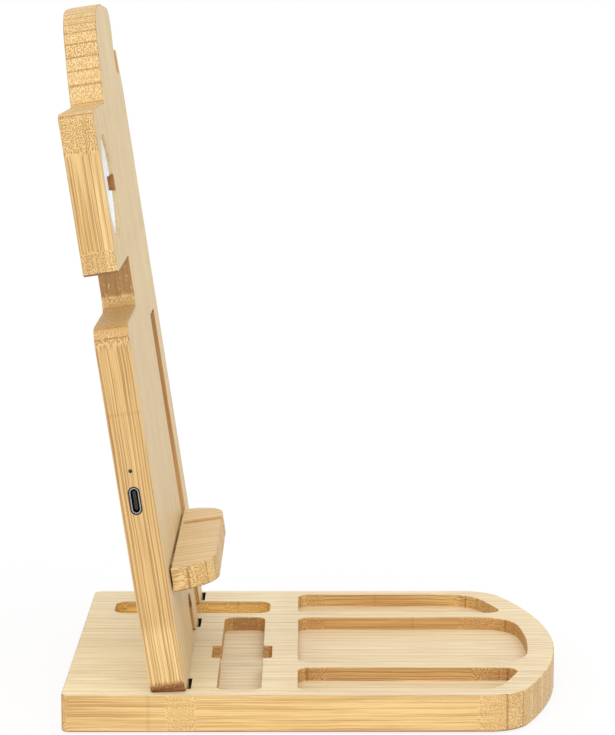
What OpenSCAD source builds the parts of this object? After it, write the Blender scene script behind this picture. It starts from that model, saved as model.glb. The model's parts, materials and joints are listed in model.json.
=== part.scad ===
// Bamboo charging station organizer: a tray base, a leaning upright that plugs into it,
// a phone shelf that plugs into the upright, a watch cradle and the charging electronics.
// Millimetres. X runs side to side, -Y is the front, Z is up, and the feet rest at z = 0.

/* [Base] */
// Width of the base, side to side
base_w = 152; // [150:1:170]
// Length of the base, from its back edge to the tip of its curved front
base_len = 176; // [172:0.2:200]
// Thickness of the base
base_t = 13.1; // [12:0.1:18]
// Radius of the curved front
front_arch_r = 162; // [150:1:260]
// Radius where the curved front meets the sides
front_corner_r = 16; // [5:0.5:18]
// Radius of the two back corners
back_corner_r = 3; // [1:0.5:8]

/* [Trays] */
// Depth of the three trays
tray_depth = 4.8; // [4.4:0.2:7]
// Corner radius of the trays
tray_corner_r = 4.5; // [2:0.5:7]
// Radius of the outer corners at the front of the trays
tray_front_r = 14; // [5:0.5:16]
// Distance from the back edge of the base to the trays
tray_start = 81.5; // [78:0.5:88]
// Width of each side tray
side_tray_w = 29.4; // [22:0.1:30]
// Wood left outside each side tray
side_rim = 6.6; // [5:0.1:10]
// Wood left in front of the trays
front_rim = 9.8; // [7:0.1:14]
// Width of the two ribs between the trays
rib_w = 7.4; // [5:0.1:11]

/* [Stand recess] */
// Length of the recess for a tablet or a pen, side to side
recess_len = 101.6; // [80:0.2:102]
// Width of the recess, front to back
recess_w = 15.3; // [12:0.1:17]
// Depth of the recess
recess_depth = 5.2; // [4.4:0.2:8]
// Corner radius of the recess
recess_corner_r = 3.5; // [1:0.5:5]
// Wood left between the recess and the base's left side
recess_margin = 7.2; // [5:0.1:9]
// Distance from the back edge of the base to the recess
recess_start = 53.4; // [51:0.1:56]
// Length of the two finger notches in the recess
finger_notch_len = 17; // [14:0.5:30]
// How far each finger notch reaches out of the recess
finger_notch_reach = 3.2; // [2:0.1:5]

/* [Base slot] */
// Length of the long slot, front to back
base_slot_len = 60.2; // [50:0.2:66]
// Width of the long slot
base_slot_w = 18.7; // [14:0.1:19]
// Depth of the long slot
base_slot_depth = 6; // [4.5:0.2:8]
// Corner radius of the long slot
base_slot_r = 5; // [2:0.5:6.5]
// Wood left between the long slot and the mortise of the right tenon
base_slot_wall = 1.6; // [1.2:0.1:4]
// Distance from the back edge of the base to the long slot
base_slot_start = 10.1; // [7:0.1:14]

/* [Upright] */
// Width of the upright board
board_w = 148; // [146:0.5:150]
// Thickness of the upright board
board_t = 12; // [12:0.2:16]
// Angle that the upright leans back by
lean = 8.4; // [4:0.1:12]
// Distance from the base's back edge to the foot of the upright's front face
board_inset = 43; // [38:0.2:46]
// Height of the shoulder under the neck, along the board
shoulder_s = 129.4; // [128:0.1:134]
// Height of the gap between the shoulder and the watch arm
neck_gap = 17.8; // [10:0.1:24]
// Height of the watch arm
arm_h = 55; // [46:0.5:64]
// Length of the watch arm, from the neck to the left side
arm_len = 50.5; // [46:0.5:56]
// Height of the head above the watch arm
head_h = 34.1; // [30:0.1:44]
// Radius of the lower body's outer shoulder
shoulder_r = 8; // [4:0.5:10]
// Radius of the inner corners at the neck
neck_r = 6; // [3:0.5:8]
// Radius of the foot's outer lower corner
foot_corner_r = 6.4; // [4:0.2:8]

/* [Head outline] */
// How far the left side of the head slopes in
head_slope_in = 21.5; // [14:0.5:26]
// Radius of the head's left top corner
head_left_r = 28; // [10:0.5:30]
// Radius of the head's right top corner
head_right_r = 6; // [3:0.5:8]
// Fall of the head's top towards its right corner
head_fall = 2.4; // [1:0.1:6]
// Fall of the head's top towards its left corner
head_left_fall = 0.9; // [0:0.1:2]
// How far the head's right corner reaches out over the hook notch
head_overhang = 9; // [4:0.5:10]
// Height of the head's right side above the hook notch
head_side_h = 16; // [12:0.5:20]
// Width of the hook notch
hook_notch_w = 9; // [6.4:0.1:10]
// Depth of the hook notch
hook_notch_depth = 9.5; // [6:0.5:14]
// Radius of the hook notch's two lower corners
hook_notch_r = 3; // [1:0.1:3]
// Width of the hook's tip
hook_tip_w = 2.6; // [2.4:0.1:5]
// Distance from the hook's tip to the board's right side
hook_tip_inset = 5.4; // [4:0.1:9]

/* [Cut-outs in the upright] */
// Width of the tall slot in the upright
tall_slot_w = 21.5; // [16:0.5:23]
// Height of the tall slot's top, along the board
tall_slot_top = 118.2; // [100:0.1:126]
// Width of the leg to the right of the tall slot
right_leg_w = 20.5; // [20:0.5:26]
// Width of the leg to the left of the tall slot
middle_leg_w = 19; // [18:0.5:22]
// Width of the cable arch
cable_arch_w = 16; // [10:0.5:17]
// Height of the cable arch
cable_arch_h = 16; // [11:0.5:22]

/* [Tenons] */
// Width of each tenon under the upright
tenon_w = 13.2; // [10:0.1:13.4]
// How deep the tenons stand in the base
tenon_drop = 8.2; // [6:0.1:9]
// Wood between the tall slot and the right tenon
right_tenon_inset = 6.6; // [6.2:0.1:7]
// Wood between the tall slot and the middle tenon
middle_tenon_inset = 0.6; // [0.4:0.1:2]
// Clearance around each tenon
tenon_gap = 0.25; // [0.15:0.05:0.4]
// Gap left under each tenon
tenon_floor_gap = 0.4; // [0.2:0.1:0.8]
// Gap between the upright's foot and the base
seat_gap = 0.1; // [0.05:0.05:0.2]

/* [Phone shelf] */
// Width of the shelf
shelf_w = 100.6; // [90:0.2:104]
// Depth of the shelf in front of the upright
shelf_d = 16.2; // [15:0.1:24]
// Thickness of the shelf
shelf_t = 8.3; // [7:0.1:12]
// Height of the shelf's top, along the board
shelf_top_s = 41.9; // [38:0.1:46]
// Distance from the upright's left side to the shelf
shelf_inset = 10.4; // [8:0.2:13]
// Radius of the shelf's front corners
shelf_corner_r = 15.5; // [8:0.5:20]
// Width of the cable slot in the shelf
cable_slot_w = 5.2; // [4.6:0.1:8]
// Distance from the shelf's right end to the cable slot
cable_slot_inset = 22.4; // [16:0.2:26]
// Wood left behind the cable slot
cable_slot_back = 1.4; // [1:0.1:3]
// Width of each shelf tenon
shelf_tenon_w = 17; // [12:0.5:18]
// Thickness of each shelf tenon
shelf_tenon_t = 6; // [4:0.1:6.6]
// How deep the shelf tenons stand in the upright
shelf_tenon_len = 7.4; // [5:0.1:7.6]
// Distance from the shelf's left end to its left tenon
shelf_tenon_inset = 12; // [8:0.5:18]
// Clearance around each shelf tenon
shelf_tenon_gap = 0.15; // [0.1:0.05:0.3]
// Gap between the shelf and the upright
shelf_gap = 0.6; // [0.3:0.1:1]

/* [Watch cradle] */
// Outside diameter of the watch cradle
cradle_d = 36; // [30:0.2:38]
// How deep the cradle is set into the arm
cradle_depth = 3.2; // [2.4:0.1:4]
// How far the cradle's rim lies below the arm's face
cradle_sunk = 1.2; // [0.2:0.1:1.6]
// Width of the cradle's rim
cradle_rim = 2.6; // [1.6:0.1:4]
// Depth of the cradle's dish below its rim
cradle_dish = 0.8; // [0.4:0.1:1.4]
// Width of the cable notch in the cradle
cradle_notch_w = 5.4; // [4:0.1:8]
// Depth of the cable groove in the wood behind the notch
cradle_groove = 1.6; // [1:0.1:3]
// How far the groove reaches past the cradle
cradle_groove_reach = 0.6; // [0.4:0.1:2]
// Distance from the upright's left side to the cradle's centre
cradle_inset = 22; // [20:0.2:26]
// Clearance around the cradle
cradle_gap = 0.1; // [0.05:0.05:0.2]

/* [Electronics bay] */
// Wood left in front of the bay
bay_wall = 3.8; // [3.4:0.1:4]
// Width of the bay
bay_w = 78; // [76:0.5:80]
// Height of the bay
bay_h = 67; // [66:0.5:69]
// Distance from the upright's left side to the bay
bay_inset = 10; // [9:0.1:11]
// Height of the bay's lower edge, along the board
bay_low_s = 53; // [52:0.5:54]
// Corner radius of the bay
bay_corner_r = 8; // [6:0.5:10]
// Width of the ledge that carries the cover
cover_ledge = 4; // [3.6:0.1:4.4]
// Thickness of the cover
cover_t = 2; // [1.6:0.1:2.2]
// Clearance around the cover
cover_gap = 0.2; // [0.1:0.05:0.4]
// Shank diameter of the cover screws
screw_d = 2; // [1.6:0.1:2.4]
// Head diameter of the cover screws
screw_head_d = 4.2; // [3.6:0.1:4.6]
// Length of the cover screws
screw_len = 7; // [5:0.5:8]
// Clearance of the screws in the cover
screw_gap = 0.15; // [0.1:0.05:0.3]

/* [Charging coil] */
// Outside diameter of the charging coil
coil_d = 42; // [36:0.5:44]
// Diameter of the hole in the coil
coil_hole_d = 20; // [14:0.5:24]
// Thickness of the coil
coil_t = 1.2; // [0.8:0.1:1.6]
// Thickness of the ferrite sheet behind the coil
ferrite_t = 1; // [0.6:0.1:1.4]
// How far the ferrite reaches past the coil
ferrite_margin = 1; // [0.5:0.1:1.5]
// Gap between the ferrite sheet and the bay's upper edge
coil_drop = 2; // [1.5:0.5:3]
// Diameter of the two coil leads
lead_d = 0.8; // [0.6:0.1:1]
// Height of the lower lead above the capacitors
lead_rise = 1; // [0.6:0.1:1.4]
// Distance between the two leads
lead_pitch = 2.2; // [1.2:0.1:2.6]

/* [Circuit board] */
// Length of the circuit board
pcb_len = 34; // [32:0.5:35]
// Height of the circuit board
pcb_h = 32; // [30:0.5:33]
// Thickness of the circuit board
pcb_t = 0.8; // [0.6:0.1:1]
// Height of the circuit board's lower edge, along the board
pcb_low_s = 59; // [57.5:0.5:60]
// Diameter of the wooden pillars that carry the circuit board
pillar_d = 6; // [5:0.2:7]
// Distance from the circuit board's edges to its screws
pcb_screw_inset = 4; // [3.5:0.1:5]
// Side of the square controller chip
chip_side = 5; // [4:0.1:7]
// Height of the controller chip
chip_h = 0.9; // [0.7:0.1:1.2]
// Side of the square power inductor
inductor_side = 7; // [5:0.1:8]
// Height of the power inductor
inductor_h = 3; // [2:0.1:3.8]
// Number of resonant capacitors
capacitor_count = 4; // [2:1:4]
// Height of each resonant capacitor
capacitor_h = 1.6; // [1:0.1:2.5]

/* [Port and light] */
// Height of the port's centre, along the board
port_s = 69.3; // [68:0.1:71]
// Depth of the port's centre behind the front face
port_t = 6.7; // [6.6:0.1:6.8]
// Long side of the port's metal shell
shell_w = 8.94; // [8.8:0.02:9.2]
// Short side of the port's metal shell
shell_h = 3.16; // [3:0.02:3.26]
// Length of the port's metal shell
shell_len = 7.3; // [6.5:0.1:8]
// Thickness of the metal shell
shell_wall = 0.3; // [0.2:0.05:0.4]
// How far the shell's mouth stands back from the wood
shell_recess = 0.2; // [0:0.1:0.4]
// Width of the dark rim around the shell
bezel_rim = 0.5; // [0.35:0.05:0.8]
// Width of the contact tongue
tongue_w = 6.7; // [6:0.1:7]
// Thickness of the contact tongue
tongue_t = 0.7; // [0.6:0.05:0.8]
// Number of contacts on each face of the tongue
contact_count = 12; // [6:1:12]
// Thickness of the wood left around the port
port_wall = 1.4; // [1:0.1:2]
// Distance from the port's centre to the indicator light
light_offset = 10.4; // [9:0.1:12]
// Diameter of the light pipe
light_d = 1.4; // [1.2:0.1:2]

/* [Feet] */
// Diameter of the rubber feet
foot_d = 10; // [8:0.5:12]
// Thickness of the rubber feet
foot_t = 2.4; // [1.8:0.1:3]
// How far the feet stand out of the base
foot_proud = 0.7; // [0.6:0.1:1.5]
// Distance from the base's sides and back edge to each foot's centre
foot_inset = 12; // [10:0.5:16]
// Distance from the base's front tip to the front feet
foot_front_inset = 30; // [28:0.5:40]
// Clearance around each foot
foot_gap = 0.2; // [0.1:0.05:0.4]

/* [Hidden] */
$fn = 48;

// How far a cut runs past the surface that it opens
over = 1;
// How far two forms of one piece run into each other
join = 0.1;
// Length of the straight steps that stand for a curve, in degrees of turn
turn_step = 7.5;

// Fixed sizes of the small parts
pcb_gap = 0.2;
coil_gap = 0.2;
pcb_corner_r = 1;
pcb_screw_d = 1.8;
pcb_screw_gap = 0.15;
pcb_screw_head_d = 3.2;
pcb_screw_head_t = 0.7;
pcb_screw_len = 4;
drive_w = 0.6;
drive_depth = 0.6;
lead_end_inset = 1.5;
capacitor_len = 3.2;
capacitor_w = 2.5;
capacitor_pitch = 3.4;
capacitor_inset = 4;
inductor_rise = 12;
tongue_recess = 0.7;
tongue_block_len = 1.6;
contact_pitch = 0.5;
contact_len = 4;
contact_t = 0.08;
contact_inset = 0.4;
led_side = 1.6;
led_inset = 1.2;
light_recess = 0.3;

// Fixed small radii and curve points of the outlines
finger_notch_r = 1;
foot_sunk = 0.5;
tall_slot_r = 1.5;
right_foot_r = 2;
right_side_r = 8;
hook_outer_r = 1.6;
hook_inner_r = 1;
overhang_r = 4;
head_top_r = 40;
head_side_r = 12;
head_foot_r = 3;
arm_top_r = 3.5;
arm_low_r = 1;
arm_root_r = 0.6;
// The head's crest and the knee in its left side, as shares of the slope and the height
crest_share = 2.5;
knee_in_share = 0.18;
knee_up_share = 0.24;
slot_mouth_r = 0.6;
slot_end_r = 0.8;
// Keeps a half-round end just short of a full half circle
round_slack = 0.1;

// Heights
base_low = foot_proud;
base_top = base_low + base_t;
// Heights along the board, from the front face's foot
arm_low_s = shoulder_s + neck_gap;
arm_top_s = arm_low_s + arm_h;
top_s = arm_top_s + head_h;

// The origin is under the middle of the whole object's box, so the base is set forward
// by half of what the head reaches past the base's back edge
head_reach = top_s * sin(lean) + board_t * cos(lean) - board_inset;
base_back = (base_len - max(0, head_reach)) / 2;
base_front = base_back - base_len;
board_foot_y = base_back - board_inset;

// Side positions
base_side = base_w / 2;
board_side = board_w / 2;
neck_x = -board_side + arm_len;
tall_slot_right = board_side - right_leg_w;
tall_slot_left = tall_slot_right - tall_slot_w;
arch_right = tall_slot_left - middle_leg_w;
arch_left = arch_right - cable_arch_w;
tenon_starts = [
    -board_side + foot_corner_r,
    tall_slot_left - middle_tenon_inset - tenon_w,
    tall_slot_right + right_tenon_inset];

// Phone shelf
shelf_left = -board_side + shelf_inset;
shelf_right = shelf_left + shelf_w;
cable_slot_right = shelf_right - cable_slot_inset;
cable_slot_left = cable_slot_right - cable_slot_w;
shelf_mid_s = shelf_top_s - shelf_t / 2;
shelf_tenon_starts = [
    shelf_left + shelf_tenon_inset,
    (cable_slot_left + cable_slot_right - shelf_tenon_w) / 2];

// Watch cradle
cradle_x = -board_side + cradle_inset;
cradle_s = (arm_low_s + arm_top_s) / 2;
cradle_dish_d = cradle_d - 2 * cradle_rim;

// Electronics
bay_left = -board_side + bay_inset;
bay_right = bay_left + bay_w;
bay_high_s = bay_low_s + bay_h;
cover_back = board_t;
cover_front = board_t - cover_t;
coil_x = (shelf_left + shelf_right) / 2;
coil_s = bay_high_s - coil_drop - ferrite_margin - coil_d / 2;
pcb_front = port_t + shell_h / 2;
pcb_back = pcb_front + pcb_t;
pcb_left = -board_side + port_wall + pcb_gap;
pcb_right = pcb_left + pcb_len;
pcb_high_s = pcb_low_s + pcb_h;
shell_mouth = -board_side + shell_recess;
shell_end = shell_mouth + shell_len;
light_s = port_s + light_offset;
led_left = pcb_left + led_inset;
capacitor_low_s = port_s - capacitor_pitch / 2;
capacitors_high_s = capacitor_low_s + (capacitor_count - 1) * capacitor_pitch + capacitor_w / 2;
pillar_spots = [for (s = [pcb_low_s + pcb_screw_inset, pcb_high_s - pcb_screw_inset])
    [pcb_right - pcb_screw_inset, s]];
cover_screw_spots = [for (x = [bay_left, bay_right]) for (s = [bay_low_s, bay_high_s]) [x, s]];

// Points on an arc of radius r around c, from angle a to angle b
function arc(c, r, a, b) =
    let (steps = max(2, ceil(abs(b - a) / turn_step)))
    [for (i = [0:steps]) let (t = a + (b - a) * i / steps) c + r * [cos(t), sin(t)]];

function unit(v) = v / norm(v);

// One corner of an outline, rounded by its own radius
function corner(before, at, after, r) = r <= 0 ? [at] :
    let (
        back = unit(before - at),
        ahead = unit(after - at),
        half = acos(max(-1, min(1, back * ahead))) / 2,
        reach = r / tan(half),
        centre = at + unit(back + ahead) * r / sin(half),
        from_centre = at + back * reach - centre,
        to_centre = at + ahead * reach - centre,
        a = atan2(from_centre.y, from_centre.x),
        swing = (atan2(to_centre.y, to_centre.x) - a + 540) % 360 - 180)
    arc(centre, r, a, a + swing);

// An outline whose corners are [x, y, radius]
function rounded(list) = let (n = len(list))
    [for (i = [0:n - 1])
        let (
            p = list[(i + n - 1) % n],
            q = list[i],
            s = list[(i + 1) % n])
        each corner([p.x, p.y], [q.x, q.y], [s.x, s.y], q[2])];

// An outline with straight sides and back whose front follows an arc about [0, arc_y];
// left_r and right_r round the two front corners
function bowed(left, right, back, arc_y, arc_r, left_r, right_r, back_r) =
    let (
        right_y = arc_y - sqrt(pow(arc_r - right_r, 2) - pow(right - right_r, 2)),
        left_y = arc_y - sqrt(pow(arc_r - left_r, 2) - pow(left + left_r, 2)),
        right_a = atan2(right_y - arc_y, right - right_r),
        left_a = atan2(left_y - arc_y, left + left_r),
        steps = max(6, ceil((right_a - left_a) / 3)))
    concat(
        arc([right - right_r, right_y], right_r, 0, right_a),
        [for (i = [1:steps - 1]) let (a = right_a + (left_a - right_a) * i / steps)
            [arc_r * cos(a), arc_y + arc_r * sin(a)]],
        arc([left + left_r, left_y], left_r, left_a, -180),
        arc([left + back_r, back - back_r], back_r, 180, 90),
        arc([right - back_r, back - back_r], back_r, 90, 0));

// A box-shaped outline with one radius
function box_outline(left, right, low, high, r) =
    rounded([[left, low, r], [right, low, r], [right, high, r], [left, high, r]]);

// Places what follows in the board's own frame: x across, y behind the front face, z up the board
module on_board() {
    translate([0, board_foot_y, base_top]) rotate([-lean, 0, 0]) children();
}

// Gives an outline, drawn across and up the board, a thickness from depth t0 to depth t1
module panel(t0, t1) {
    translate([0, t1, 0]) rotate([90, 0, 0]) linear_extrude(t1 - t0) children();
}

// A round bar into the board, from depth t0 to depth t1
module peg(spot, d, t0, t1) {
    translate([spot.x, t0, spot.y]) rotate([-90, 0, 0]) cylinder(d = d, h = t1 - t0);
}

// A bar with round ends that points along X, w up the board and h through it
module side_bar(w, h, x0, x1, s, t) {
    translate([x0, t, s]) rotate([0, 90, 0]) linear_extrude(x1 - x0)
        polygon(box_outline(-w / 2, w / 2, -h / 2, h / 2, 0.499 * h));
}

// Everything below a level height
module below(z) {
    translate([-base_w, -base_len, z - base_len]) cube([2 * base_w, 2 * base_len, base_len]);
}

module pocket(depth) {
    translate([0, 0, base_top - depth]) linear_extrude(depth + over) children();
}

arch_y = base_front + front_arch_r;
tray_arc_r = front_arch_r - front_rim;
tray_back = base_back - tray_start;
side_tray_out = base_side - side_rim;
side_tray_in = side_tray_out - side_tray_w;
middle_tray_side = side_tray_in - rib_w;
recess_left = -base_side + recess_margin;
recess_right = recess_left + recess_len;
recess_back = base_back - recess_start;
recess_front = recess_back - recess_w;
recess_mid = (recess_left + recess_right) / 2;
slot_right = tenon_starts[2] - tenon_gap - base_slot_wall;
slot_back = base_back - base_slot_start;
foot_spots = [
    [-base_side + foot_inset, base_back - foot_inset],
    [base_side - foot_inset, base_back - foot_inset],
    [-base_side + 2 * foot_inset, base_front + foot_front_inset],
    [base_side - 2 * foot_inset, base_front + foot_front_inset]];

// The mortises have upright walls: the leaning tenon touches low in front and high behind
module mortises() {
    front = board_foot_y - tenon_drop * tan(lean) - tenon_gap;
    back = board_foot_y + board_t / cos(lean) + tenon_gap;
    depth = tenon_drop + tenon_floor_gap;
    for (x = tenon_starts)
        translate([x - tenon_gap, front, base_top - depth])
            cube([tenon_w + 2 * tenon_gap, back - front, depth + over]);
}

module base_board() {
    color([0.93, 0.82, 0.6]) difference() {
        translate([0, 0, base_low]) linear_extrude(base_t)
            polygon(bowed(-base_side, base_side, base_back, arch_y, front_arch_r,
                front_corner_r, front_corner_r, back_corner_r));
        pocket(tray_depth) {
            polygon(bowed(-side_tray_out, -side_tray_in, tray_back, arch_y, tray_arc_r,
                tray_front_r, tray_corner_r, tray_corner_r));
            polygon(bowed(-middle_tray_side, middle_tray_side, tray_back, arch_y, tray_arc_r,
                tray_front_r, tray_front_r, tray_corner_r));
            polygon(bowed(side_tray_in, side_tray_out, tray_back, arch_y, tray_arc_r,
                tray_corner_r, tray_front_r, tray_corner_r));
        }
        pocket(recess_depth) {
            polygon(box_outline(recess_left, recess_right, recess_front, recess_back,
                recess_corner_r));
            polygon(box_outline(recess_mid - finger_notch_len / 2,
                recess_mid + finger_notch_len / 2, recess_front - finger_notch_reach,
                recess_back + finger_notch_reach, finger_notch_r));
        }
        pocket(base_slot_depth)
            polygon(box_outline(slot_right - base_slot_w, slot_right,
                slot_back - base_slot_len, slot_back, base_slot_r));
        mortises();
        for (p = foot_spots) translate([p.x, p.y, base_low - over])
            cylinder(d = foot_d + 2 * foot_gap, h = foot_t - foot_proud + over);
    }
}

module foot(i) {
    color([0.16, 0.16, 0.17]) translate([foot_spots[i].x, foot_spots[i].y, 0])
        cylinder(d = foot_d, h = foot_t);
}

hook_x = board_side - hook_tip_inset - hook_tip_w;
notch_left = hook_x - hook_notch_w;
hook_top_s = arm_top_s + head_side_h;
notch_low_s = hook_top_s - hook_notch_depth;
foot_s = -foot_sunk;
arch_r = cable_arch_w / 2 - round_slack;

// The upright's outline, counter-clockwise from its lower left corner
board_outline = rounded([
    [-board_side, foot_s, foot_corner_r],
    [arch_left, foot_s, 0],
    [arch_left, cable_arch_h, arch_r],
    [arch_right, cable_arch_h, arch_r],
    [arch_right, foot_s, 0],
    [tall_slot_left, foot_s, 0],
    [tall_slot_left, tall_slot_top, tall_slot_r],
    [tall_slot_right, tall_slot_top, tall_slot_r],
    [tall_slot_right, foot_s, 0],
    [board_side, foot_s, right_foot_r],
    [board_side, arm_top_s, right_side_r],
    [hook_x + hook_tip_w, hook_top_s, hook_outer_r],
    [hook_x, hook_top_s, hook_inner_r],
    [hook_x, notch_low_s, hook_notch_r],
    [notch_left, notch_low_s, hook_notch_r],
    [notch_left, hook_top_s, overhang_r],
    [notch_left + head_overhang, top_s - head_fall, head_right_r],
    [neck_x + crest_share * head_slope_in, top_s, head_top_r],
    [neck_x + head_slope_in, top_s - head_left_fall, head_left_r],
    [neck_x + knee_in_share * head_slope_in, arm_top_s + knee_up_share * head_h, head_side_r],
    [neck_x, arm_top_s, head_foot_r],
    [-board_side, arm_top_s, arm_top_r],
    [-board_side, arm_low_s, arm_low_r],
    [neck_x, arm_low_s, arm_root_r],
    [neck_x, shoulder_s, neck_r],
    [-board_side, shoulder_s, shoulder_r]]);

module board_blank() {
    difference() {
        on_board() panel(0, board_t) polygon(board_outline);
        below(base_top + seat_gap);
    }
    difference() {
        on_board() for (x = tenon_starts)
            translate([x, 0, -2 * tenon_drop]) cube([tenon_w, board_t, 3 * tenon_drop]);
        below(base_top - tenon_drop);
        on_board() translate([-board_w, -over, foot_s + foot_corner_r])
            cube([2 * board_w, board_t + 2 * over, 3 * tenon_drop]);
    }
}

module shelf_mortises() {
    for (x = shelf_tenon_starts)
        translate([x - shelf_tenon_gap, -over, shelf_mid_s - shelf_tenon_t / 2 - shelf_tenon_gap])
            cube([shelf_tenon_w + 2 * shelf_tenon_gap, shelf_tenon_len + shelf_tenon_gap + over,
                shelf_tenon_t + 2 * shelf_tenon_gap]);
}

// The cable's way out of the cradle's dish, to depth t
module cable_notch(t) {
    start = cradle_x + cradle_dish_d / 2 - 2 * cradle_gap;
    translate([start, -over, cradle_s - cradle_notch_w / 2])
        cube([cradle_x + cradle_d / 2 + cradle_groove_reach - start, t + over, cradle_notch_w]);
}

module cradle_seat() {
    peg([cradle_x, cradle_s], cradle_d + 2 * cradle_gap, -over, cradle_depth);
    cable_notch(cradle_depth + cradle_groove);
}

module electronics_bay() {
    panel(bay_wall, board_t + over)
        polygon(box_outline(bay_left, bay_right, bay_low_s, bay_high_s, bay_corner_r));
    // Room round the coil and its ferrite, also where the bay is narrower
    peg([coil_x, coil_s], coil_d + 2 * (ferrite_margin + coil_gap), bay_wall,
        bay_wall + coil_t + ferrite_t + coil_gap);
    panel(cover_front, board_t + over)
        polygon(box_outline(bay_left - cover_ledge, bay_right + cover_ledge,
            bay_low_s - cover_ledge, bay_high_s + cover_ledge, cover_ledge));
    // Undercut on the left that takes the circuit board's end
    undercut_front = port_t - shell_h / 2 - pcb_gap;
    translate([-board_side + port_wall, undercut_front, pcb_low_s - pcb_gap])
        cube([bay_inset + bay_corner_r, pcb_back + pcb_gap - undercut_front,
            pcb_h + 2 * pcb_gap]);
    side_bar(shell_w + 2 * bezel_rim, shell_h + 2 * bezel_rim, -board_side - over,
        -board_side + port_wall + over, port_s, port_t);
    translate([-board_side - over, port_t, light_s]) rotate([0, 90, 0])
        cylinder(d = light_d, h = port_wall + 2 * over);
    for (p = cover_screw_spots) peg(p, screw_d, cover_back - screw_len, cover_back);
}

module upright_board() {
    color([0.9, 0.78, 0.55]) {
        difference() {
            board_blank();
            on_board() {
                shelf_mortises();
                cradle_seat();
                electronics_bay();
            }
        }
        on_board() for (p = pillar_spots) difference() {
            peg(p, pillar_d, bay_wall - join, pcb_front);
            peg(p, pcb_screw_d, pcb_back + pcb_screw_head_t - pcb_screw_len, pcb_front + over);
        }
    }
}

module phone_shelf() {
    back = -shelf_gap;
    slot_back_t = back - cable_slot_back;
    corner_r = min(shelf_corner_r, shelf_d - shelf_gap - round_slack);
    color([0.91, 0.79, 0.56]) on_board() {
        translate([0, 0, shelf_top_s - shelf_t]) linear_extrude(shelf_t)
            polygon(rounded([
                [shelf_left, back, 0],
                [shelf_left, -shelf_d, corner_r],
                [cable_slot_left, -shelf_d, slot_mouth_r],
                [cable_slot_left, slot_back_t, slot_end_r],
                [cable_slot_right, slot_back_t, slot_end_r],
                [cable_slot_right, -shelf_d, slot_mouth_r],
                [shelf_right, -shelf_d, corner_r],
                [shelf_right, back, 0]]));
        for (x = shelf_tenon_starts)
            translate([x, back - over, shelf_mid_s - shelf_tenon_t / 2])
                cube([shelf_tenon_w, shelf_tenon_len + shelf_gap + over, shelf_tenon_t]);
    }
}

module watch_cradle() {
    spot = [cradle_x, cradle_s];
    color([0.9, 0.91, 0.92]) on_board() difference() {
        peg(spot, cradle_d, cradle_sunk, cradle_depth);
        peg(spot, cradle_dish_d, -over, cradle_sunk + cradle_dish);
        cable_notch(cradle_depth + over);
    }
}

module back_cover() {
    slack = cover_ledge - cover_gap;
    color([0.86, 0.74, 0.52]) on_board() difference() {
        panel(cover_front, cover_back)
            polygon(box_outline(bay_left - slack, bay_right + slack,
                bay_low_s - slack, bay_high_s + slack, slack));
        for (p = cover_screw_spots) {
            peg(p, screw_d + 2 * screw_gap, cover_front - over, cover_back + over);
            screw_head(p, screw_gap, over);
        }
    }
}

// A countersunk head whose flat is flush with the board's back
module screw_head(p, grow, past) {
    sink = (screw_head_d - screw_d) / 2;
    translate([p.x, cover_back - sink, p.y]) rotate([-90, 0, 0]) {
        cylinder(d1 = screw_d + 2 * grow, d2 = screw_head_d + 2 * grow, h = sink);
        if (past > 0) translate([0, 0, sink - 0.01])
            cylinder(d = screw_head_d + 2 * grow, h = past);
    }
}

module cover_screws() {
    color([0.75, 0.75, 0.76]) on_board() for (p = cover_screw_spots) difference() {
        union() {
            peg(p, screw_d, cover_back - screw_len, cover_back - join);
            screw_head(p, 0, 0);
        }
        translate([p.x, cover_back, p.y]) for (a = [0, 90]) rotate([0, a, 0])
            cube([drive_w, 2 * drive_depth, screw_head_d - 2 * drive_w], center = true);
    }
}

module charging_coil() {
    color([0.72, 0.42, 0.2]) on_board() difference() {
        peg([coil_x, coil_s], coil_d, bay_wall, bay_wall + coil_t);
        peg([coil_x, coil_s], coil_hole_d, bay_wall - over, bay_wall + coil_t + over);
    }
}

module coil_ferrite() {
    low = bay_wall + coil_t;
    color([0.25, 0.25, 0.27]) on_board()
        peg([coil_x, coil_s], coil_d + 2 * ferrite_margin, low, low + ferrite_t);
}

module coil_leads() {
    low = bay_wall + coil_t / 2;
    rise = pcb_front - low;
    color([0.8, 0.5, 0.25]) on_board() for (i = [0, 1]) {
        s = capacitors_high_s + lead_rise + i * lead_pitch;
        start = coil_x - sqrt(pow(coil_d / 2, 2) - pow(s - coil_s, 2));
        stop = pcb_right - lead_end_inset;
        translate([stop, low, s]) rotate([0, 90, 0]) cylinder(d = lead_d, h = start - stop);
        translate([stop, low, s]) sphere(d = lead_d);
        translate([stop, low, s]) rotate([-90, 0, 0]) cylinder(d = lead_d, h = rise);
    }
}

module circuit_board() {
    color([0.1, 0.35, 0.2]) on_board() difference() {
        panel(pcb_front, pcb_back)
            polygon(box_outline(pcb_left, pcb_right, pcb_low_s, pcb_high_s, pcb_corner_r));
        for (p = pillar_spots)
            peg(p, pcb_screw_d + 2 * pcb_screw_gap, pcb_front - over, pcb_back + over);
    }
}

module circuit_board_screws() {
    color([0.75, 0.75, 0.76]) on_board() for (p = pillar_spots) {
        tip = pcb_back + pcb_screw_head_t - pcb_screw_len;
        peg(p, pcb_screw_d, tip, pcb_back + join);
        peg(p, pcb_screw_head_d, pcb_back, pcb_back + pcb_screw_head_t);
    }
}

// A square part on the front of the circuit board
module on_pcb(x, s, side_x, side_s, h) {
    translate([x - side_x / 2, pcb_front - h, s - side_s / 2]) cube([side_x, h, side_s]);
}

module controller_chip() {
    color([0.12, 0.12, 0.13]) on_board()
        on_pcb((shell_end + pcb_right) / 2, port_s, chip_side, chip_side, chip_h);
}

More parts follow.
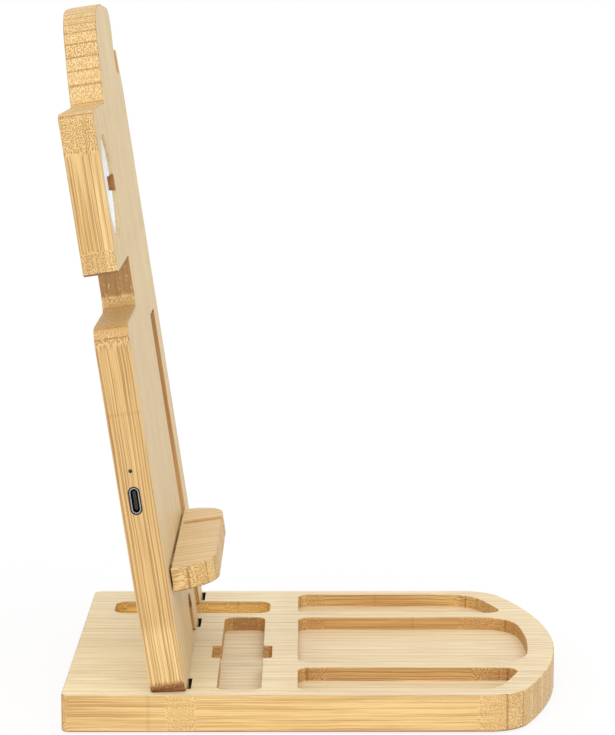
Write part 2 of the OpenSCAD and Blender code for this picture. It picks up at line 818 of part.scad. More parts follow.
module power_inductor() {
    color([0.3, 0.3, 0.32]) on_board()
        on_pcb(pcb_right - 2 * inductor_side, port_s + inductor_rise, inductor_side,
            inductor_side, inductor_h);
}

module resonant_capacitors() {
    color([0.7, 0.6, 0.45]) on_board() for (i = [0:capacitor_count - 1])
        on_pcb(pcb_right - capacitor_inset, capacitor_low_s + i * capacitor_pitch,
            capacitor_len, capacitor_w, capacitor_h);
}

module usb_c_shell() {
    color([0.78, 0.79, 0.8]) on_board() difference() {
        side_bar(shell_w, shell_h, shell_mouth, shell_end, port_s, port_t);
        side_bar(shell_w - 2 * shell_wall, shell_h - 2 * shell_wall, shell_mouth - over,
            shell_end + over, port_s, port_t);
    }
}

tongue_mouth = shell_mouth + tongue_recess;

module usb_c_tongue() {
    color([0.1, 0.1, 0.11]) on_board() {
        translate([tongue_mouth, port_t - tongue_t / 2, port_s - tongue_w / 2])
            cube([shell_end - tongue_mouth, tongue_t, tongue_w]);
        side_bar(shell_w - 2 * shell_wall, shell_h - 2 * shell_wall,
            shell_end - tongue_block_len, shell_end, port_s, port_t);
    }
}

module usb_c_contacts() {
    middle = tongue_mouth + contact_inset + contact_len / 2;
    color([0.85, 0.7, 0.35]) on_board() for (i = [0:contact_count - 1], face = [-1, 1])
        translate([middle, port_t + face * (tongue_t + contact_t) / 2,
            port_s + (i - (contact_count - 1) / 2) * contact_pitch])
            cube([contact_len, contact_t, contact_pitch / 2], center = true);
}

module port_bezel() {
    color([0.08, 0.08, 0.09]) on_board() difference() {
        side_bar(shell_w + 2 * bezel_rim, shell_h + 2 * bezel_rim, -board_side,
            -board_side + port_wall, port_s, port_t);
        side_bar(shell_w, shell_h, -board_side - over, -board_side + port_wall + over,
            port_s, port_t);
    }
}

module status_led() {
    color([0.95, 0.95, 0.85]) on_board()
        translate([led_left, port_t - led_side / 2, light_s - led_side / 2])
            cube([led_side, pcb_front - port_t + led_side / 2, led_side]);
}

module light_pipe() {
    mouth = -board_side + light_recess;
    color([0.2, 0.2, 0.2]) on_board() translate([mouth, port_t, light_s]) rotate([0, 90, 0])
        cylinder(d = light_d, h = led_left - mouth);
}

base_board();
foot(0);  // foot_back_left
foot(1);  // foot_back_right
foot(2);  // foot_front_left
foot(3);  // foot_front_right
upright_board();
phone_shelf();
watch_cradle();
back_cover();
cover_screws();
charging_coil();
coil_ferrite();
coil_leads();
circuit_board();
circuit_board_screws();
controller_chip();
power_inductor();
resonant_capacitors();
usb_c_shell();
usb_c_tongue();
usb_c_contacts();
port_bezel();
status_led();
light_pipe();
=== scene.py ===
# Bamboo charging station organizer: finishes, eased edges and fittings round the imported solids
import json
import math
import bmesh
import bpy
from mathutils import Matrix, Vector


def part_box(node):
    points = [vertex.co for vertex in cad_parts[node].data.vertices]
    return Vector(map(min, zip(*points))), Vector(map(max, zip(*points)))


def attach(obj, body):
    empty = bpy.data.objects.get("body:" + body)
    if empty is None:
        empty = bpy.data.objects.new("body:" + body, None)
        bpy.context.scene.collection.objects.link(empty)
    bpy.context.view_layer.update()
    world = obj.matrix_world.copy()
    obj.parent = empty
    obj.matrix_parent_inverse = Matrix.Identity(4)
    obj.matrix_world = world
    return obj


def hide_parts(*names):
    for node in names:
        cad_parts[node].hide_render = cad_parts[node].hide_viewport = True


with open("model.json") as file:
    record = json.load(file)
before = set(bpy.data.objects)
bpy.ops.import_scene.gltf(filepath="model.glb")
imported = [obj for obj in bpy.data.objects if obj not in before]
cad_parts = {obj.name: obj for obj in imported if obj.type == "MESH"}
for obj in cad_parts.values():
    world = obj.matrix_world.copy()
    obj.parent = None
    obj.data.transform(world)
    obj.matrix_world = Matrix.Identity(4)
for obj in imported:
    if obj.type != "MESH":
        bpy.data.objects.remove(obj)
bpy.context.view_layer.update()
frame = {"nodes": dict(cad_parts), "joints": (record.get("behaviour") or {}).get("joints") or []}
print("frame loaded:", len(frame["nodes"]), "solids")

# The photograph's view: a long lens beside the stand, looking across it and slightly down
photoView = {
    "place": (-0.93470, 0.00297, 0.25825),
    "pitchDown": math.radians(8.655),
    "turn": math.radians(-0.0987),
    "focalPixels": 2582.5,
    "imageSize": (615, 735),
}


def aimCamera(view):
    lens = bpy.data.cameras.new("photoCamera")
    lens.sensor_fit = "VERTICAL"
    lens.sensor_height = 36.0
    lens.lens = view["focalPixels"] * lens.sensor_height / view["imageSize"][1]
    lens.clip_start = 0.05
    lens.clip_end = 20.0
    camera = bpy.data.objects.new("photoCamera", lens)
    bpy.context.scene.collection.objects.link(camera)
    level = math.cos(view["pitchDown"])
    forward = Vector((level * math.cos(view["turn"]), level * math.sin(view["turn"]),
                      -math.sin(view["pitchDown"])))
    right = forward.cross(Vector((0, 0, 1))).normalized()
    up = right.cross(forward)
    camera.matrix_world = Matrix.Translation(view["place"]) @ Matrix(
        (right, up, -forward)).transposed().to_4x4()
    bpy.context.scene.camera = camera


aimCamera(photoView)


def paint(red, green, blue):
    # A colour as it shows on screen, 0 to 255, turned to the linear values that shaders use
    def linear(v):
        v /= 255
        return v / 12.92 if v <= 0.04045 else ((v + 0.055) / 1.055) ** 2.4
    return (linear(red), linear(green), linear(blue), 1.0)


class Wire:
    # A socket that can be used in sums; each step adds a Math node

    def __init__(self, finish, socket):
        self.finish = finish
        self.socket = socket

    def calc(self, operation, *others):
        values = {0: self}
        values.update({i + 1: other for i, other in enumerate(others)})
        return self.finish.node("ShaderNodeMath", {"operation": operation}, values)

    def __add__(self, other):
        return self.calc("ADD", other)

    __radd__ = __add__

    def __mul__(self, other):
        return self.calc("MULTIPLY", other)

    __rmul__ = __mul__

    def __sub__(self, other):
        return self.calc("SUBTRACT", other)

    def __rsub__(self, other):
        return self.calc("MULTIPLY", -1).calc("ADD", other)

    def __truediv__(self, other):
        return self.calc("DIVIDE", other)

    def floor(self):
        return self.calc("FLOOR")

    def fract(self):
        return self.calc("FRACT")

    def absolute(self):
        return self.calc("ABSOLUTE")

    def clamp(self):
        return self.calc("MAXIMUM", 0.0).calc("MINIMUM", 1.0)

    def ramp(self, low, high):
        # 0 below low, 1 above high, eased between them
        return self.finish.node("ShaderNodeMapRange", {"interpolation_type": "SMOOTHSTEP"},
                                {0: self, 1: low, 2: high, 3: 0.0, 4: 1.0})


class Finish:
    # One material and the nodes that feed its shader

    def __init__(self, name):
        self.material = bpy.data.materials.new(name)
        self.material.use_nodes = True
        self.tree = self.material.node_tree
        self.shader = self.tree.nodes["Principled BSDF"]

    def node(self, kind, settings=None, values=None, output=0):
        made = self.tree.nodes.new(kind)
        for key, value in (settings or {}).items():
            if key == "stops":
                ramp = made.color_ramp
                while len(ramp.elements) < len(value):
                    ramp.elements.new(0.5)
                for element, (place, colour) in zip(ramp.elements, value):
                    element.position = place
                    element.color = colour
            else:
                setattr(made, key, value)
        for key, value in (values or {}).items():
            self.feed(made.inputs[key], value)
        return Wire(self, made.outputs[output])

    def feed(self, socket, value):
        if isinstance(value, Wire):
            self.tree.links.new(value.socket, socket)
        else:
            socket.default_value = value

    def set(self, **values):
        for key, value in values.items():
            self.feed(self.shader.inputs[key.replace("_", " ")], value)
        return self.material

    def places(self, scale=1000.0):
        # The point in the part's own frame, in millimetres, as three numbers
        point = self.node("ShaderNodeTexCoord", output="Object")
        split = self.tree.nodes.new("ShaderNodeSeparateXYZ")
        self.feed(split.inputs[0], point)
        return [Wire(self, split.outputs[i]) * scale for i in range(3)]

    def point(self, x, y, z):
        return self.node("ShaderNodeCombineXYZ", values={0: x, 1: y, 2: z})

    def noise(self, point, scale, detail=2.0, rough=0.5):
        return self.node("ShaderNodeTexNoise", {"noise_dimensions": "3D"},
                         {"Vector": point, "Scale": scale, "Detail": detail,
                          "Roughness": rough})

    def mix(self, factor, first, second, blend="MIX"):
        return self.node("ShaderNodeMix", {"data_type": "RGBA", "blend_type": blend},
                         {0: factor, 6: first, 7: second}, output=2)

    def bump(self, height, distance, strength=1.0):
        return self.node("ShaderNodeBump", values={"Height": height, "Distance": distance,
                                                   "Strength": strength})


# Laminated bamboo: upright strips glued side by side, fibre bundles along the strips.
# A swirl is a place where the bundles cross the strip aslant, so that they show as dots:
# centre and half length along the fibres, how far they move across, and whether it shows
# only inside the outer rim; all in millimetres.
bambooLook = {
    "light": paint(243, 211, 148),
    "mid": paint(224, 184, 116),
    "dark": paint(200, 152, 82),
    "shade": paint(206, 162, 98),
    "fibre": paint(146, 94, 42),
    "glue": paint(152, 100, 46),
    # Painted shade on cut walls, undersides, mortises and the cable notch; painted light on the
    # long slot's walls and the back of the base
    "wallShadeTint": paint(192, 142, 72),
    "under": paint(150, 88, 44),
    "hole": paint(62, 36, 20),
    "notch": paint(226, 146, 60),
    "slot": paint(255, 214, 128),
    "backLightTint": paint(255, 240, 196),
    "bundleGap": 0.55,
    "lineDepth": 0.62,
    "dotDepth": 0.22,
    "fineDepth": 0.34,
    "roughness": 0.46,
    "pore": 0.0001,
    "rim": 72.0,
}
bambooBoards = {
    "baseBamboo": dict(grain=1, stripWidth=4.3, shift=0.35, pale=paint(247, 230, 192),
                       paleFace=0.85, cut=0.42, hair=0.8, lightAndShadeBands=[],
                       swirls=[(45, 6, 8, False), (-65, 9, -11, False), (25, 10, 14, True),
                               (-1, 5, 7, True)]),
    "uprightBamboo": dict(grain=2, stripWidth=3.3, shift=0.1, pale=paint(232, 209, 160),
                          paleFace=0.8, cut=0.45, hair=0.68,
                          lightAndShadeBands=[(224, 260, 0.6, "light"), (150, 168, 0.6, "light"),
                                 (44, 150, 0.5, "shade")],
                          swirls=[(216, 9, 11, False), (171, 5, -7, False)]),
    "shelfBamboo": dict(grain=1, stripWidth=4.6, shift=0.6, pale=paint(250, 226, 178),
                        paleFace=0.6, cut=0.0, hair=0.4, lightAndShadeBands=[], swirls=[]),
}


def bamboo(name, look, board, leanBack, wallShadeMask):
    # grain says which of the piece's own axes the fibres follow: 1 for depth, 2 for height
    finish = Finish(name)
    x, y, z = finish.places()
    facing = finish.tree.nodes.new("ShaderNodeSeparateXYZ")
    finish.feed(facing.inputs[0], finish.node("ShaderNodeTexCoord", output="Normal"))
    faceX, faceY, faceZ = (Wire(finish, socket) for socket in facing.outputs)
    cosine, sine = math.cos(leanBack), math.sin(leanBack)
    depth = y * cosine - z * sine
    rise = y * sine + z * cosine
    faceDepth = (faceY * cosine - faceZ * sine).absolute()
    faceRise = (faceY * sine + faceZ * cosine).absolute()
    if board["grain"] == 2:
        along, through, broadFace = rise, depth, faceDepth
    else:
        along, through, broadFace = depth, rise, faceRise

    # Slow wander of the bundles, and the swirls where they slant across
    drift = finish.noise(finish.point(x / 60, through / 60, along / 70), 1.0, 1.0) - 0.5
    sway = finish.noise(finish.point(x / 25, through / 25 + 7, along / 40), 1.0, 2.0) - 0.5
    across = x + drift * 0.8
    deep = through + sway * 1.5
    inside = (look["rim"] - x.absolute()).ramp(0.0, 0.1)
    dotted = 0.0
    for centre, half, reach, innerOnly in board["swirls"]:
        turn = along.ramp(centre - half, centre + half)
        shown = inside if innerOnly else 1.0
        across = across + turn * reach * shown * (1 - broadFace.ramp(0.5, 0.9))
        dotted = turn * (1 - turn) * 4 * shown + dotted
    # Faces cut across the cane show dots as well
    endFace = (faceRise if board["grain"] == 2 else faceDepth).ramp(0.1, 0.45)
    crossing = (endFace + dotted).clamp()

    # Strips and the glue lines between them
    lane = x / board["stripWidth"] + board["shift"] + drift * 0.12
    strip = lane.floor()
    inStrip = lane.fract()
    stripTone = finish.node("ShaderNodeTexWhiteNoise", {"noise_dimensions": "1D"}, {"W": strip})
    stripCrowd = finish.node("ShaderNodeTexWhiteNoise", {"noise_dimensions": "1D"},
                             {"W": strip + 31.7})
    toEdge = (0.5 - (inStrip - 0.5).absolute()) * board["stripWidth"]
    ragged = finish.noise(finish.point(x * 0.9, through * 0.9, along * 0.9), 1.0, 1.0)
    glue = (1 - toEdge.ramp(0.08, 0.30)) * ragged.ramp(0.22, 0.45)

    # Fibre bundles: dots where they are cut across, streaks where they are cut along
    cell = finish.node("ShaderNodeTexVoronoi", {"voronoi_dimensions": "2D", "feature": "F1"},
                       {"Vector": finish.point(across / look["bundleGap"],
                                               deep / look["bundleGap"], 0.0),
                        "Scale": 1.0, "Randomness": 0.85})
    bundle = (1 - cell.ramp(0.14, 0.46)) * (stripCrowd * 0.4 + 0.6)

    # Fine hair lines, and broad clouds of tone that differ from strip to strip
    hair = finish.noise(finish.point(x * 1.1, deep * 1.1, along / 45), 1.0, 3.0, 0.65)
    cloud = finish.noise(finish.point(x / 30, through / 30, along / 60 + stripTone * 3), 1.0, 2.0)

    fine = finish.noise(finish.point(x * 1.8, deep * 1.8, along / 30 + 5), 1.0, 2.0, 0.7)

    # The knuckles of the cane, at a different height in each strip
    knot = ((along / 170 + stripTone * 7.3).fract() - 0.5).absolute().ramp(0.4945, 0.4995)

    pale = broadFace.ramp(0.80, 0.97) * board["paleFace"]
    if "seat" in board:
        # The wall of the cradle's seat gets painted light, as pale as the front, over its shade
        seatX, seatRise, seatRadius, seatDepth = board["seat"]
        fromSeat = ((x - seatX) * (x - seatX) + (rise - seatRise) * (rise - seatRise)).calc("SQRT")
        inSeat = (seatRadius - fromSeat).ramp(0.0, 0.1) * (seatDepth - depth).ramp(0.0, 0.1)
        # The cable notch in its rim gets warm, darker painted shade
        inNotch = inSeat * (x - seatX - 14.5).ramp(0.0, 0.1) \
            * (3.0 - (rise - seatRise).absolute()).ramp(0.0, 0.1) * (1 - broadFace.ramp(0.3, 0.8))
        pale = pale.calc("MAXIMUM", inSeat - inNotch)
    tone = finish.mix((stripTone * 0.5 + cloud * 0.9 - 0.2).clamp(), look["light"], look["mid"])
    tone = finish.mix(cloud.ramp(0.5, 0.8) * 0.5, tone, look["dark"])
    # Bands of height mixed towards the light or the shade colour; at the neck this is painted
    # light over its shade
    for low, high, share, shade in board["lightAndShadeBands"]:
        zone = rise.ramp(low - 3, low + 3) * (1 - rise.ramp(high - 3, high + 3))
        tone = finish.mix(zone * share, tone, look[shade])
    tone = finish.mix(pale, tone, board["pale"])
    if "seat" in board:
        tone = finish.mix(inNotch * 0.8, tone, look["notch"])
    if board["grain"] == 1 and board["cut"]:
        # The base's top gets painted light at the back, and the walls of its long slot get painted
        # light over their shade
        tone = finish.mix(along.ramp(3.0, 16.0) * pale * 0.8, tone, look["backLightTint"])
        slotWallLight = along.ramp(5.0, 7.0) * x.ramp(36.0, 38.0) * (1 - faceRise.ramp(0.3, 0.8)) \
            * (1 - x.ramp(74.0, 75.0)) * (12.9 - z).ramp(0.0, 0.2) * (1 - y.ramp(84.0, 84.5))
        tone = finish.mix(slotWallLight * 0.9, tone, look["slot"])
    calm = 1 - pale * 0.62
    tone = finish.mix(hair.ramp(0.46, 0.72) * board["hair"] * calm, tone, look["dark"])
    tone = finish.mix(fine.ramp(0.45, 0.75) * look["fineDepth"] * (1 - pale * 0.5), tone,
                      look["fibre"])
    strength = crossing * look["dotDepth"] + look["lineDepth"]
    tone = finish.mix(bundle * strength * calm, tone, look["fibre"])
    tone = finish.mix(knot * 0.15 * (1 - pale), tone, look["fibre"])
    tone = finish.mix(glue * 0.62 * calm, tone, look["glue"])
    # Painted shade on the walls of pockets and slots
    if board["cut"]:
        tone = finish.mix(wallShadeMask(x, y, z, rise, faceDepth, faceRise) * board["cut"], tone,
                          look["wallShadeTint"], "MULTIPLY")
    # Painted shade on what faces down below the cradle, and on the bottoms of the mortises
    down = (faceY * sine + faceZ * cosine) * -1
    undersideShade = down.ramp(0.05, 0.4) * (1 - rise.ramp(173.0, 175.0)) * 0.75
    tone = finish.mix(undersideShade, tone, look["under"], "MULTIPLY")
    # Dark painted shade in the mortises
    if board["grain"] == 1 and board["cut"]:
        tone = finish.mix(mortiseShadeMask(x, y, z), tone, look["hole"], "MULTIPLY")

    height = 1 - bundle * 0.7 - glue * 0.6 - hair * 0.3
    rough = look["roughness"] + bundle * 0.12 + (cloud - 0.5) * 0.08
    finish.set(Base_Color=tone, Roughness=rough, Normal=finish.bump(height, look["pore"]))
    return finish.material


# Plain moulded, rubbed and plated surfaces, each with its own fine texture
plainLooks = {
    "whitePlastic": dict(main=(246, 247, 250), other=(237, 239, 244), grain=3.0, rough=0.3,
                         spread=0.12, depth=0.00002),
    "blackPlastic": dict(main=(14, 14, 16), other=(26, 25, 28), grain=4.0, rough=0.42,
                         spread=0.15, depth=0.00002),
    "footRubber": dict(main=(38, 38, 40), other=(58, 57, 58), grain=2.0, rough=0.75,
                       spread=0.15, depth=0.00005),
    # The nickel shell's inside gets painted shade
    "nickel": dict(main=(196, 198, 202), other=(158, 160, 166), grain=6.0, rough=0.28,
                   spread=0.2, depth=0.00001, metal=1.0, shadeInside=(-73.7, -72.6)),
    "zincScrew": dict(main=(188, 190, 192), other=(140, 142, 146), grain=3.0, rough=0.34,
                      spread=0.25, depth=0.00002, metal=1.0),
    "goldPlate": dict(main=(226, 184, 104), other=(196, 150, 76), grain=8.0, rough=0.25,
                      spread=0.15, depth=0.00001, metal=1.0),
    "ferrite": dict(main=(58, 58, 62), other=(82, 80, 82), grain=3.0, rough=0.6,
                    spread=0.2, depth=0.00004),
    "solderMask": dict(main=(20, 88, 52), other=(34, 112, 66), grain=2.5, rough=0.35,
                       spread=0.2, depth=0.00003),
    "firedCeramic": dict(main=(176, 150, 112), other=(150, 124, 88), grain=2.0, rough=0.5,
                         spread=0.2, depth=0.00003),
    "lampResin": dict(main=(240, 238, 214), other=(226, 222, 190), grain=1.0, rough=0.2,
                      spread=0.1, depth=0.00001),
    "smokedPipe": dict(main=(52, 44, 36), other=(34, 28, 24), grain=1.5, rough=0.18,
                       spread=0.1, depth=0.00001),
}


def plain(name, look):
    finish = Finish(name)
    x, y, z = finish.places()
    point = finish.point(x, y, z)
    cloud = finish.noise(point, 0.35 * look["grain"], 3.0)
    grit = finish.noise(point, 4.0 * look["grain"], 2.0)
    tone = finish.mix(cloud.ramp(0.35, 0.7), paint(*look["main"]), paint(*look["other"]))
    if "shadeInside" in look:
        # Painted shade inside a plug shell, darkening quickly behind its mouth
        tone = finish.mix(x.ramp(*look["shadeInside"]), tone, paint(26, 26, 28))
    rough = look["rough"] + (cloud - 0.5) * look["spread"] + (grit - 0.5) * look["spread"] * 0.5
    finish.set(Base_Color=tone, Roughness=rough.clamp(), Metallic=look.get("metal", 0.0),
               Normal=finish.bump(grit, look["depth"]))
    return finish.material


def woundCopper(name, centre, tilt, pitch):
    # Flat spiral of enamelled wire, drawn as rings about the coil's centre
    finish = Finish(name)
    x, y, z = finish.places()
    sideways = x - centre[0] * 1000
    rise = (y - centre[1] * 1000) * math.sin(tilt) + (z - centre[2] * 1000) * math.cos(tilt)
    radius = (sideways * sideways + rise * rise).calc("SQRT")
    ring = ((radius / pitch).fract() - 0.5).absolute() * 2
    tone = finish.mix(ring.ramp(0.6, 1.0), paint(196, 112, 58), paint(108, 52, 26))
    finish.set(Base_Color=tone, Metallic=0.9, Roughness=ring * 0.2 + 0.25,
               Normal=finish.bump(1 - ring * ring, 0.0001))
    return finish.material


lean = math.asin(frame["joints"][0]["axis"][1])
print("upright leans back by", round(math.degrees(lean), 2), "degrees")

looks = {name: plain(name, look) for name, look in plainLooks.items()}


# Places of the mortises in the base, in metres across and deep
mortises = {"across": ((-0.0682, -0.0538), (0.0176, 0.0320), (0.0596, 0.0738)),
            "deep": (0.0410, 0.0560)}

# Painted shade on the walls of the pockets, slots and mortises, darker than the outside
boardLow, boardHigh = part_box("upright_board")
baseLow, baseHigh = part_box("base_board")
frontArch = 0.162


def pocketWallShade(x, y, z, rise, faceDepth, faceRise):
    radius = frontArch * 1000
    archY = baseLow.y * 1000 + radius
    fromArch = (x * x + (y - archY) * (y - archY)).calc("SQRT")
    inside = (71.5 - x.absolute()).ramp(0.0, 0.2) * (baseHigh.y * 1000 - 1 - y).ramp(0.0, 0.2)
    inside = inside * (radius - 4 - fromArch).ramp(0.0, 0.2)
    # Less so on the right, and hardly at all in the long slot
    far = (1 - x.ramp(36.0, 38.0) * 0.65) * (1 - y.ramp(5.0, 7.0) * x.ramp(36.0, 38.0))
    return inside * (1 - faceRise.ramp(0.3, 0.8)) * (baseHigh.z * 1000 - 0.3 - z).ramp(0.0, 0.2) \
        * far


def mortiseShadeMask(x, y, z):
    low, high = (edge * 1000 for edge in mortises["deep"])
    across = 0.0
    for left, right in mortises["across"]:
        across = x.ramp(left * 1000, left * 1000 + 0.1) * (1 - x.ramp(right * 1000 - 0.1,
                                                                     right * 1000)) + across
    return across * y.ramp(low, low + 0.1) * (1 - y.ramp(high - 0.1, high)) \
        * (baseHigh.z * 1000 - 0.1 - z).ramp(0.0, 0.2)


def slotWallShade(x, y, z, rise, faceDepth, faceRise):
    inward = (x - boardLow.x * 1000 - 2).ramp(0.0, 1.0) * (boardHigh.x * 1000 - 2 - x).ramp(0, 1)
    return inward * (1 - faceDepth.ramp(0.3, 0.8)) * (1 - rise.ramp(136.0, 142.0)) * 0.8


def noWallShade(x, y, z, rise, faceDepth, faceRise):
    return 0.0


cradleLow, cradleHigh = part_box("watch_cradle")
cradleMiddle = (cradleLow + cradleHigh) / 2 * 1000
seatPlace = (cradleMiddle.x, cradleMiddle.y * math.sin(lean) + cradleMiddle.z * math.cos(lean),
             (cradleHigh.x - cradleLow.x) * 500 + 1.5,
             cradleMiddle.y * math.cos(lean) - cradleMiddle.z * math.sin(lean) + 3)

cutWalls = {"baseBamboo": (0.0, pocketWallShade), "uprightBamboo": (lean, slotWallShade),
            "shelfBamboo": (lean, noWallShade)}
for name, board in bambooBoards.items():
    leanBack, wallShadeMask = cutWalls[name]
    if name == "uprightBamboo":
        board["seat"] = seatPlace
    looks[name] = bamboo(name, bambooLook, board, leanBack, wallShadeMask)
coilLow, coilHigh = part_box("charging_coil")
looks["woundCopper"] = woundCopper("woundCopper", (coilLow + coilHigh) / 2, lean, 0.9)
print("finishes made:", len(looks))


def wear(obj, look):
    obj.data.materials.clear()
    obj.data.materials.append(looks[look])


# Boards with eased edges: what a sanding block does to every outside arris. The rims of
# pockets, seats and mortises stay crisper than the outside.
easedBoards = {
    "baseBoard": dict(node="base_board", body="base", look="baseBamboo", ease=0.0006,
                      crisp=0.00025, slot="bamboo"),
    "uprightBoard": dict(node="upright_board", body="upright", look="uprightBamboo",
                         ease=0.0006, crisp=0.00025, slot="bamboo"),
    "phoneShelf": dict(node="phone_shelf", body="shelf", look="shelfBamboo", ease=0.0004,
                       crisp=0.0, slot="bamboo"),
    "watchCradle": dict(node="watch_cradle", body="upright", look="whitePlastic", ease=0.00025,
                        crisp=0.0, slot="white_plastic"),
    "backCover": dict(node="back_cover", body="upright", look="uprightBamboo", ease=0.0003,
                      crisp=0.0, slot="bamboo"),
}


def cleanCopy(node, name):
    # A copy of a solid with its faces joined up again, ready for easing
    mesh = frame["nodes"][node].data.copy()
    mesh.name = name
    shape = bmesh.new()
    shape.from_mesh(mesh)
    bmesh.ops.remove_doubles(shape, verts=shape.verts, dist=2e-6)
    bmesh.ops.dissolve_degenerate(shape, dist=1e-6, edges=shape.edges)
    bmesh.ops.dissolve_limit(shape, angle_limit=math.radians(0.4), verts=shape.verts,
                             edges=shape.edges)
    return mesh, shape


def rounded(shape, width, wanted):
    sharp = [edge for edge in shape.edges if len(edge.link_faces) == 2 and edge.is_convex
             and edge.calc_face_angle(0) > math.radians(32) and wanted(edge)]
    bmesh.ops.bevel(shape, geom=sharp, offset=width, offset_type="OFFSET", segments=3,
                    profile=0.5, affect="EDGES", clamp_overlap=False, miter_outer="ARC")


def ease(name, spec, keep, crisp):
    mesh, shape = cleanCopy(spec["node"], name)
    rounded(shape, spec["ease"], lambda edge: keep(edge) and not crisp(edge))
    if spec["crisp"]:
        rounded(shape, spec["crisp"], lambda edge: keep(edge) and crisp(edge))
    for face in shape.faces:
        face.smooth = True
    for edge in shape.edges:
        edge.smooth = len(edge.link_faces) == 2 and \
            edge.calc_face_angle(math.pi) < math.radians(38)
    shape.to_mesh(mesh)
    shape.free()
    mesh.update()
    obj = bpy.data.objects.new(name, mesh)
    bpy.context.scene.collection.objects.link(obj)
    weighted = obj.modifiers.new("evenNormals", "WEIGHTED_NORMAL")
    weighted.weight = 100
    weighted.keep_sharp = True
    return obj


def middleOf(edge):
    return (edge.verts[0].co + edge.verts[1].co) / 2


def everyEdge(edge):
    return True


def noEdge(edge):
    return False


def besideMortises(edge):
    # Leaves out the rims and walls of the mortises
    middle = middleOf(edge)
    low, high = mortises["deep"]
    return not (low < middle.y < high
                and any(left < middle.x < right for left, right in mortises["across"]))


def pocketEdge(edge):
    # Everything inside the base's outline
    middle = middleOf(edge)
    fromArch = math.hypot(middle.x, middle.y - baseLow.y - frontArch)
    return abs(middle.x) < 0.0715 and middle.y < baseHigh.y - 0.002 \
        and fromArch < frontArch - 0.004


portLow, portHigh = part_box("port_bezel")
coverLow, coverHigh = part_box("back_cover")
shelfLow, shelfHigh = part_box("phone_shelf")


def within(point, low, high, margin):
    return all(low[i] - margin < point[i] < high[i] + margin for i in range(3))


def seatEdge(edge):
    # The cradle's seat and the shelf's mortises
    middle = middleOf(edge)
    return within(middle, cradleLow, cradleHigh, 0.002) or \
        within(middle, shelfLow, shelfHigh, 0.001)


def besideNotch(edge):
    # Leaves out the cradle's cable notch, whose slim corners are too small to ease
    middle = middleOf(edge)
    return not (middle.x > cradleHigh.x - 0.0045
                and within(middle, cradleLow, cradleHigh, 0.003)
                and abs(middle.z - (cradleLow.z + cradleHigh.z) / 2) < 0.0045)


def outsideEdge(edge):
    # Leaves out the port, the light and everything inside the electronics bay
    middle = middleOf(edge)
    nearSide = middle.x < portHigh.x + 0.001
    byPort = nearSide and portLow.z - 0.002 < middle.z < portHigh.z + 0.010 and \
        portLow.y - 0.0006 < middle.y < portHigh.y + 0.0015
    inBay = coverLow.x - 0.0005 < middle.x < coverHigh.x + 0.0005 and \
        coverLow.z - 0.0005 < middle.z < coverHigh.z + 0.0005 and \
        (middle.y * math.cos(lean) - middle.z * math.sin(lean)) > frontDepth + 0.004
    return besideNotch(edge) and not (byPort or inBay)


# Depth of the upright's front face in its own leaning frame, from its top front arris
frontDepth = min(v.co.y * math.cos(lean) - v.co.z * math.sin(lean)
                 for v in frame["nodes"]["upright_board"].data.vertices)

keptEdges = {"uprightBoard": outsideEdge, "baseBoard": besideMortises,
             "watchCradle": besideNotch}
crispEdges = {"uprightBoard": seatEdge, "baseBoard": pocketEdge}
for name, spec in easedBoards.items():
    piece = ease(name, spec, keptEdges.get(name, everyEdge), crispEdges.get(name, noEdge))
    wear(piece, spec["look"])
    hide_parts(spec["node"])
    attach(piece, spec["body"])
print("boards eased:", ", ".join(easedBoards))

nodeLooks = {
    "foot_back_left": "footRubber", "foot_back_right": "footRubber",
    "foot_front_left": "footRubber", "foot_front_right": "footRubber",
    "cover_screws": "zincScrew", "charging_coil": "woundCopper", "coil_ferrite": "ferrite",
    "coil_leads": "woundCopper", "circuit_board": "solderMask",
    "circuit_board_screws": "zincScrew", "controller_chip": "blackPlastic",
    "power_inductor": "ferrite", "resonant_capacitors": "firedCeramic",
    "usb_c_shell": "nickel", "usb_c_tongue": "blackPlastic", "usb_c_contacts": "goldPlate",
    "port_bezel": "blackPlastic", "status_led": "lampResin", "light_pipe": "smokedPipe",
}
for node, look in nodeLooks.items():
    wear(frame["nodes"][node], look)
print("solids finished:", len(nodeLooks))

# Studio: a white sweep and plain, even light
studio = {
    "floorSize": 6.0,
    "fill": 0.68,
    "keyStrength": 1.05,
    "keyAngle": math.radians(80),
    "keyFrom": (-0.75, -0.02, 1.0),
    "frontStrength": 0.4,
    "frontFrom": (-1.0, -0.5, 0.7),
    "backStrength": 0.3,
    "backFrom": (-0.5, 0.8, 0.8),
}


def whiteToCamera(finish):
    # The camera, and what gloss and glass show, see clean white; light itself stays as it is
    path = finish.tree.nodes.new("ShaderNodeLightPath")
    seen = Wire(finish, path.outputs["Is Camera Ray"])
    for other in ("Is Glossy Ray", "Is Transmission Ray"):
        seen = seen.calc("MAXIMUM", Wire(finish, path.outputs[other]))
    return seen


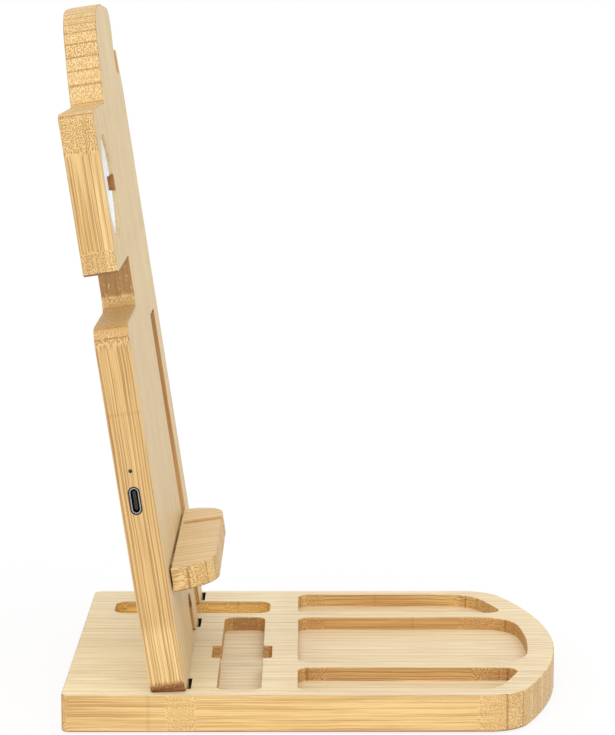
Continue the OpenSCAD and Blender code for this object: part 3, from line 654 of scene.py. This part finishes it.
def buildStudio(setup):
    world = bpy.data.worlds.new("studioWorld")
    bpy.context.scene.world = world
    world.use_nodes = True
    tree = world.node_tree
    tree.nodes.clear()
    path = tree.nodes.new("ShaderNodeLightPath")
    out = tree.nodes.new("ShaderNodeOutputWorld")
    fill = tree.nodes.new("ShaderNodeBackground")
    fill.inputs["Strength"].default_value = setup["fill"]
    seen = tree.nodes.new("ShaderNodeBackground")
    seen.inputs["Strength"].default_value = 1.0
    for shade in (fill, seen):
        shade.inputs["Color"].default_value = (1, 1, 1, 1)
    either = tree.nodes.new("ShaderNodeMath")
    either.operation = "MAXIMUM"
    tree.links.new(path.outputs["Is Camera Ray"], either.inputs[0])
    tree.links.new(path.outputs["Is Glossy Ray"], either.inputs[1])
    both = tree.nodes.new("ShaderNodeMath")
    both.operation = "MAXIMUM"
    tree.links.new(either.outputs[0], both.inputs[0])
    tree.links.new(path.outputs["Is Transmission Ray"], both.inputs[1])
    choose = tree.nodes.new("ShaderNodeMixShader")
    tree.links.new(both.outputs[0], choose.inputs[0])
    tree.links.new(fill.outputs[0], choose.inputs[1])
    tree.links.new(seen.outputs[0], choose.inputs[2])
    tree.links.new(choose.outputs[0], out.inputs["Surface"])

    for name, strength, start in (("keyLight", setup["keyStrength"], setup["keyFrom"]),
                                  ("frontLight", setup["frontStrength"], setup["frontFrom"]),
                                  ("backLight", setup["backStrength"], setup["backFrom"])):
        lamp = bpy.data.lights.new(name, "SUN")
        lamp.energy = strength
        lamp.angle = setup["keyAngle"]
        holder = bpy.data.objects.new(name, lamp)
        holder.rotation_euler = Vector(start).to_track_quat("Z", "Y").to_euler()
        bpy.context.scene.collection.objects.link(holder)

    half = setup["floorSize"] / 2
    mesh = bpy.data.meshes.new("studioFloor")
    mesh.from_pydata([(-half, -half, 0), (half, -half, 0), (half, half, 0), (-half, half, 0)],
                     [], [(0, 1, 2, 3)])
    floor = bpy.data.objects.new("studioFloor", mesh)
    bpy.context.scene.collection.objects.link(floor)
    finish = Finish("studioWhite")
    finish.set(Base_Color=paint(250, 250, 250), Roughness=0.9)
    glow = finish.node("ShaderNodeEmission", values={"Color": (1, 1, 1, 1), "Strength": 1.0})
    blend = finish.tree.nodes.new("ShaderNodeMixShader")
    finish.feed(blend.inputs[0], whiteToCamera(finish) * 0.86)
    finish.tree.links.new(finish.shader.outputs[0], blend.inputs[1])
    finish.tree.links.new(glow.socket, blend.inputs[2])
    finish.tree.links.new(blend.outputs[0],
                          finish.tree.nodes["Material Output"].inputs["Surface"])
    floor.data.materials.append(finish.material)


buildStudio(studio)
bpy.context.scene.view_settings.view_transform = "Standard"
print("studio ready")
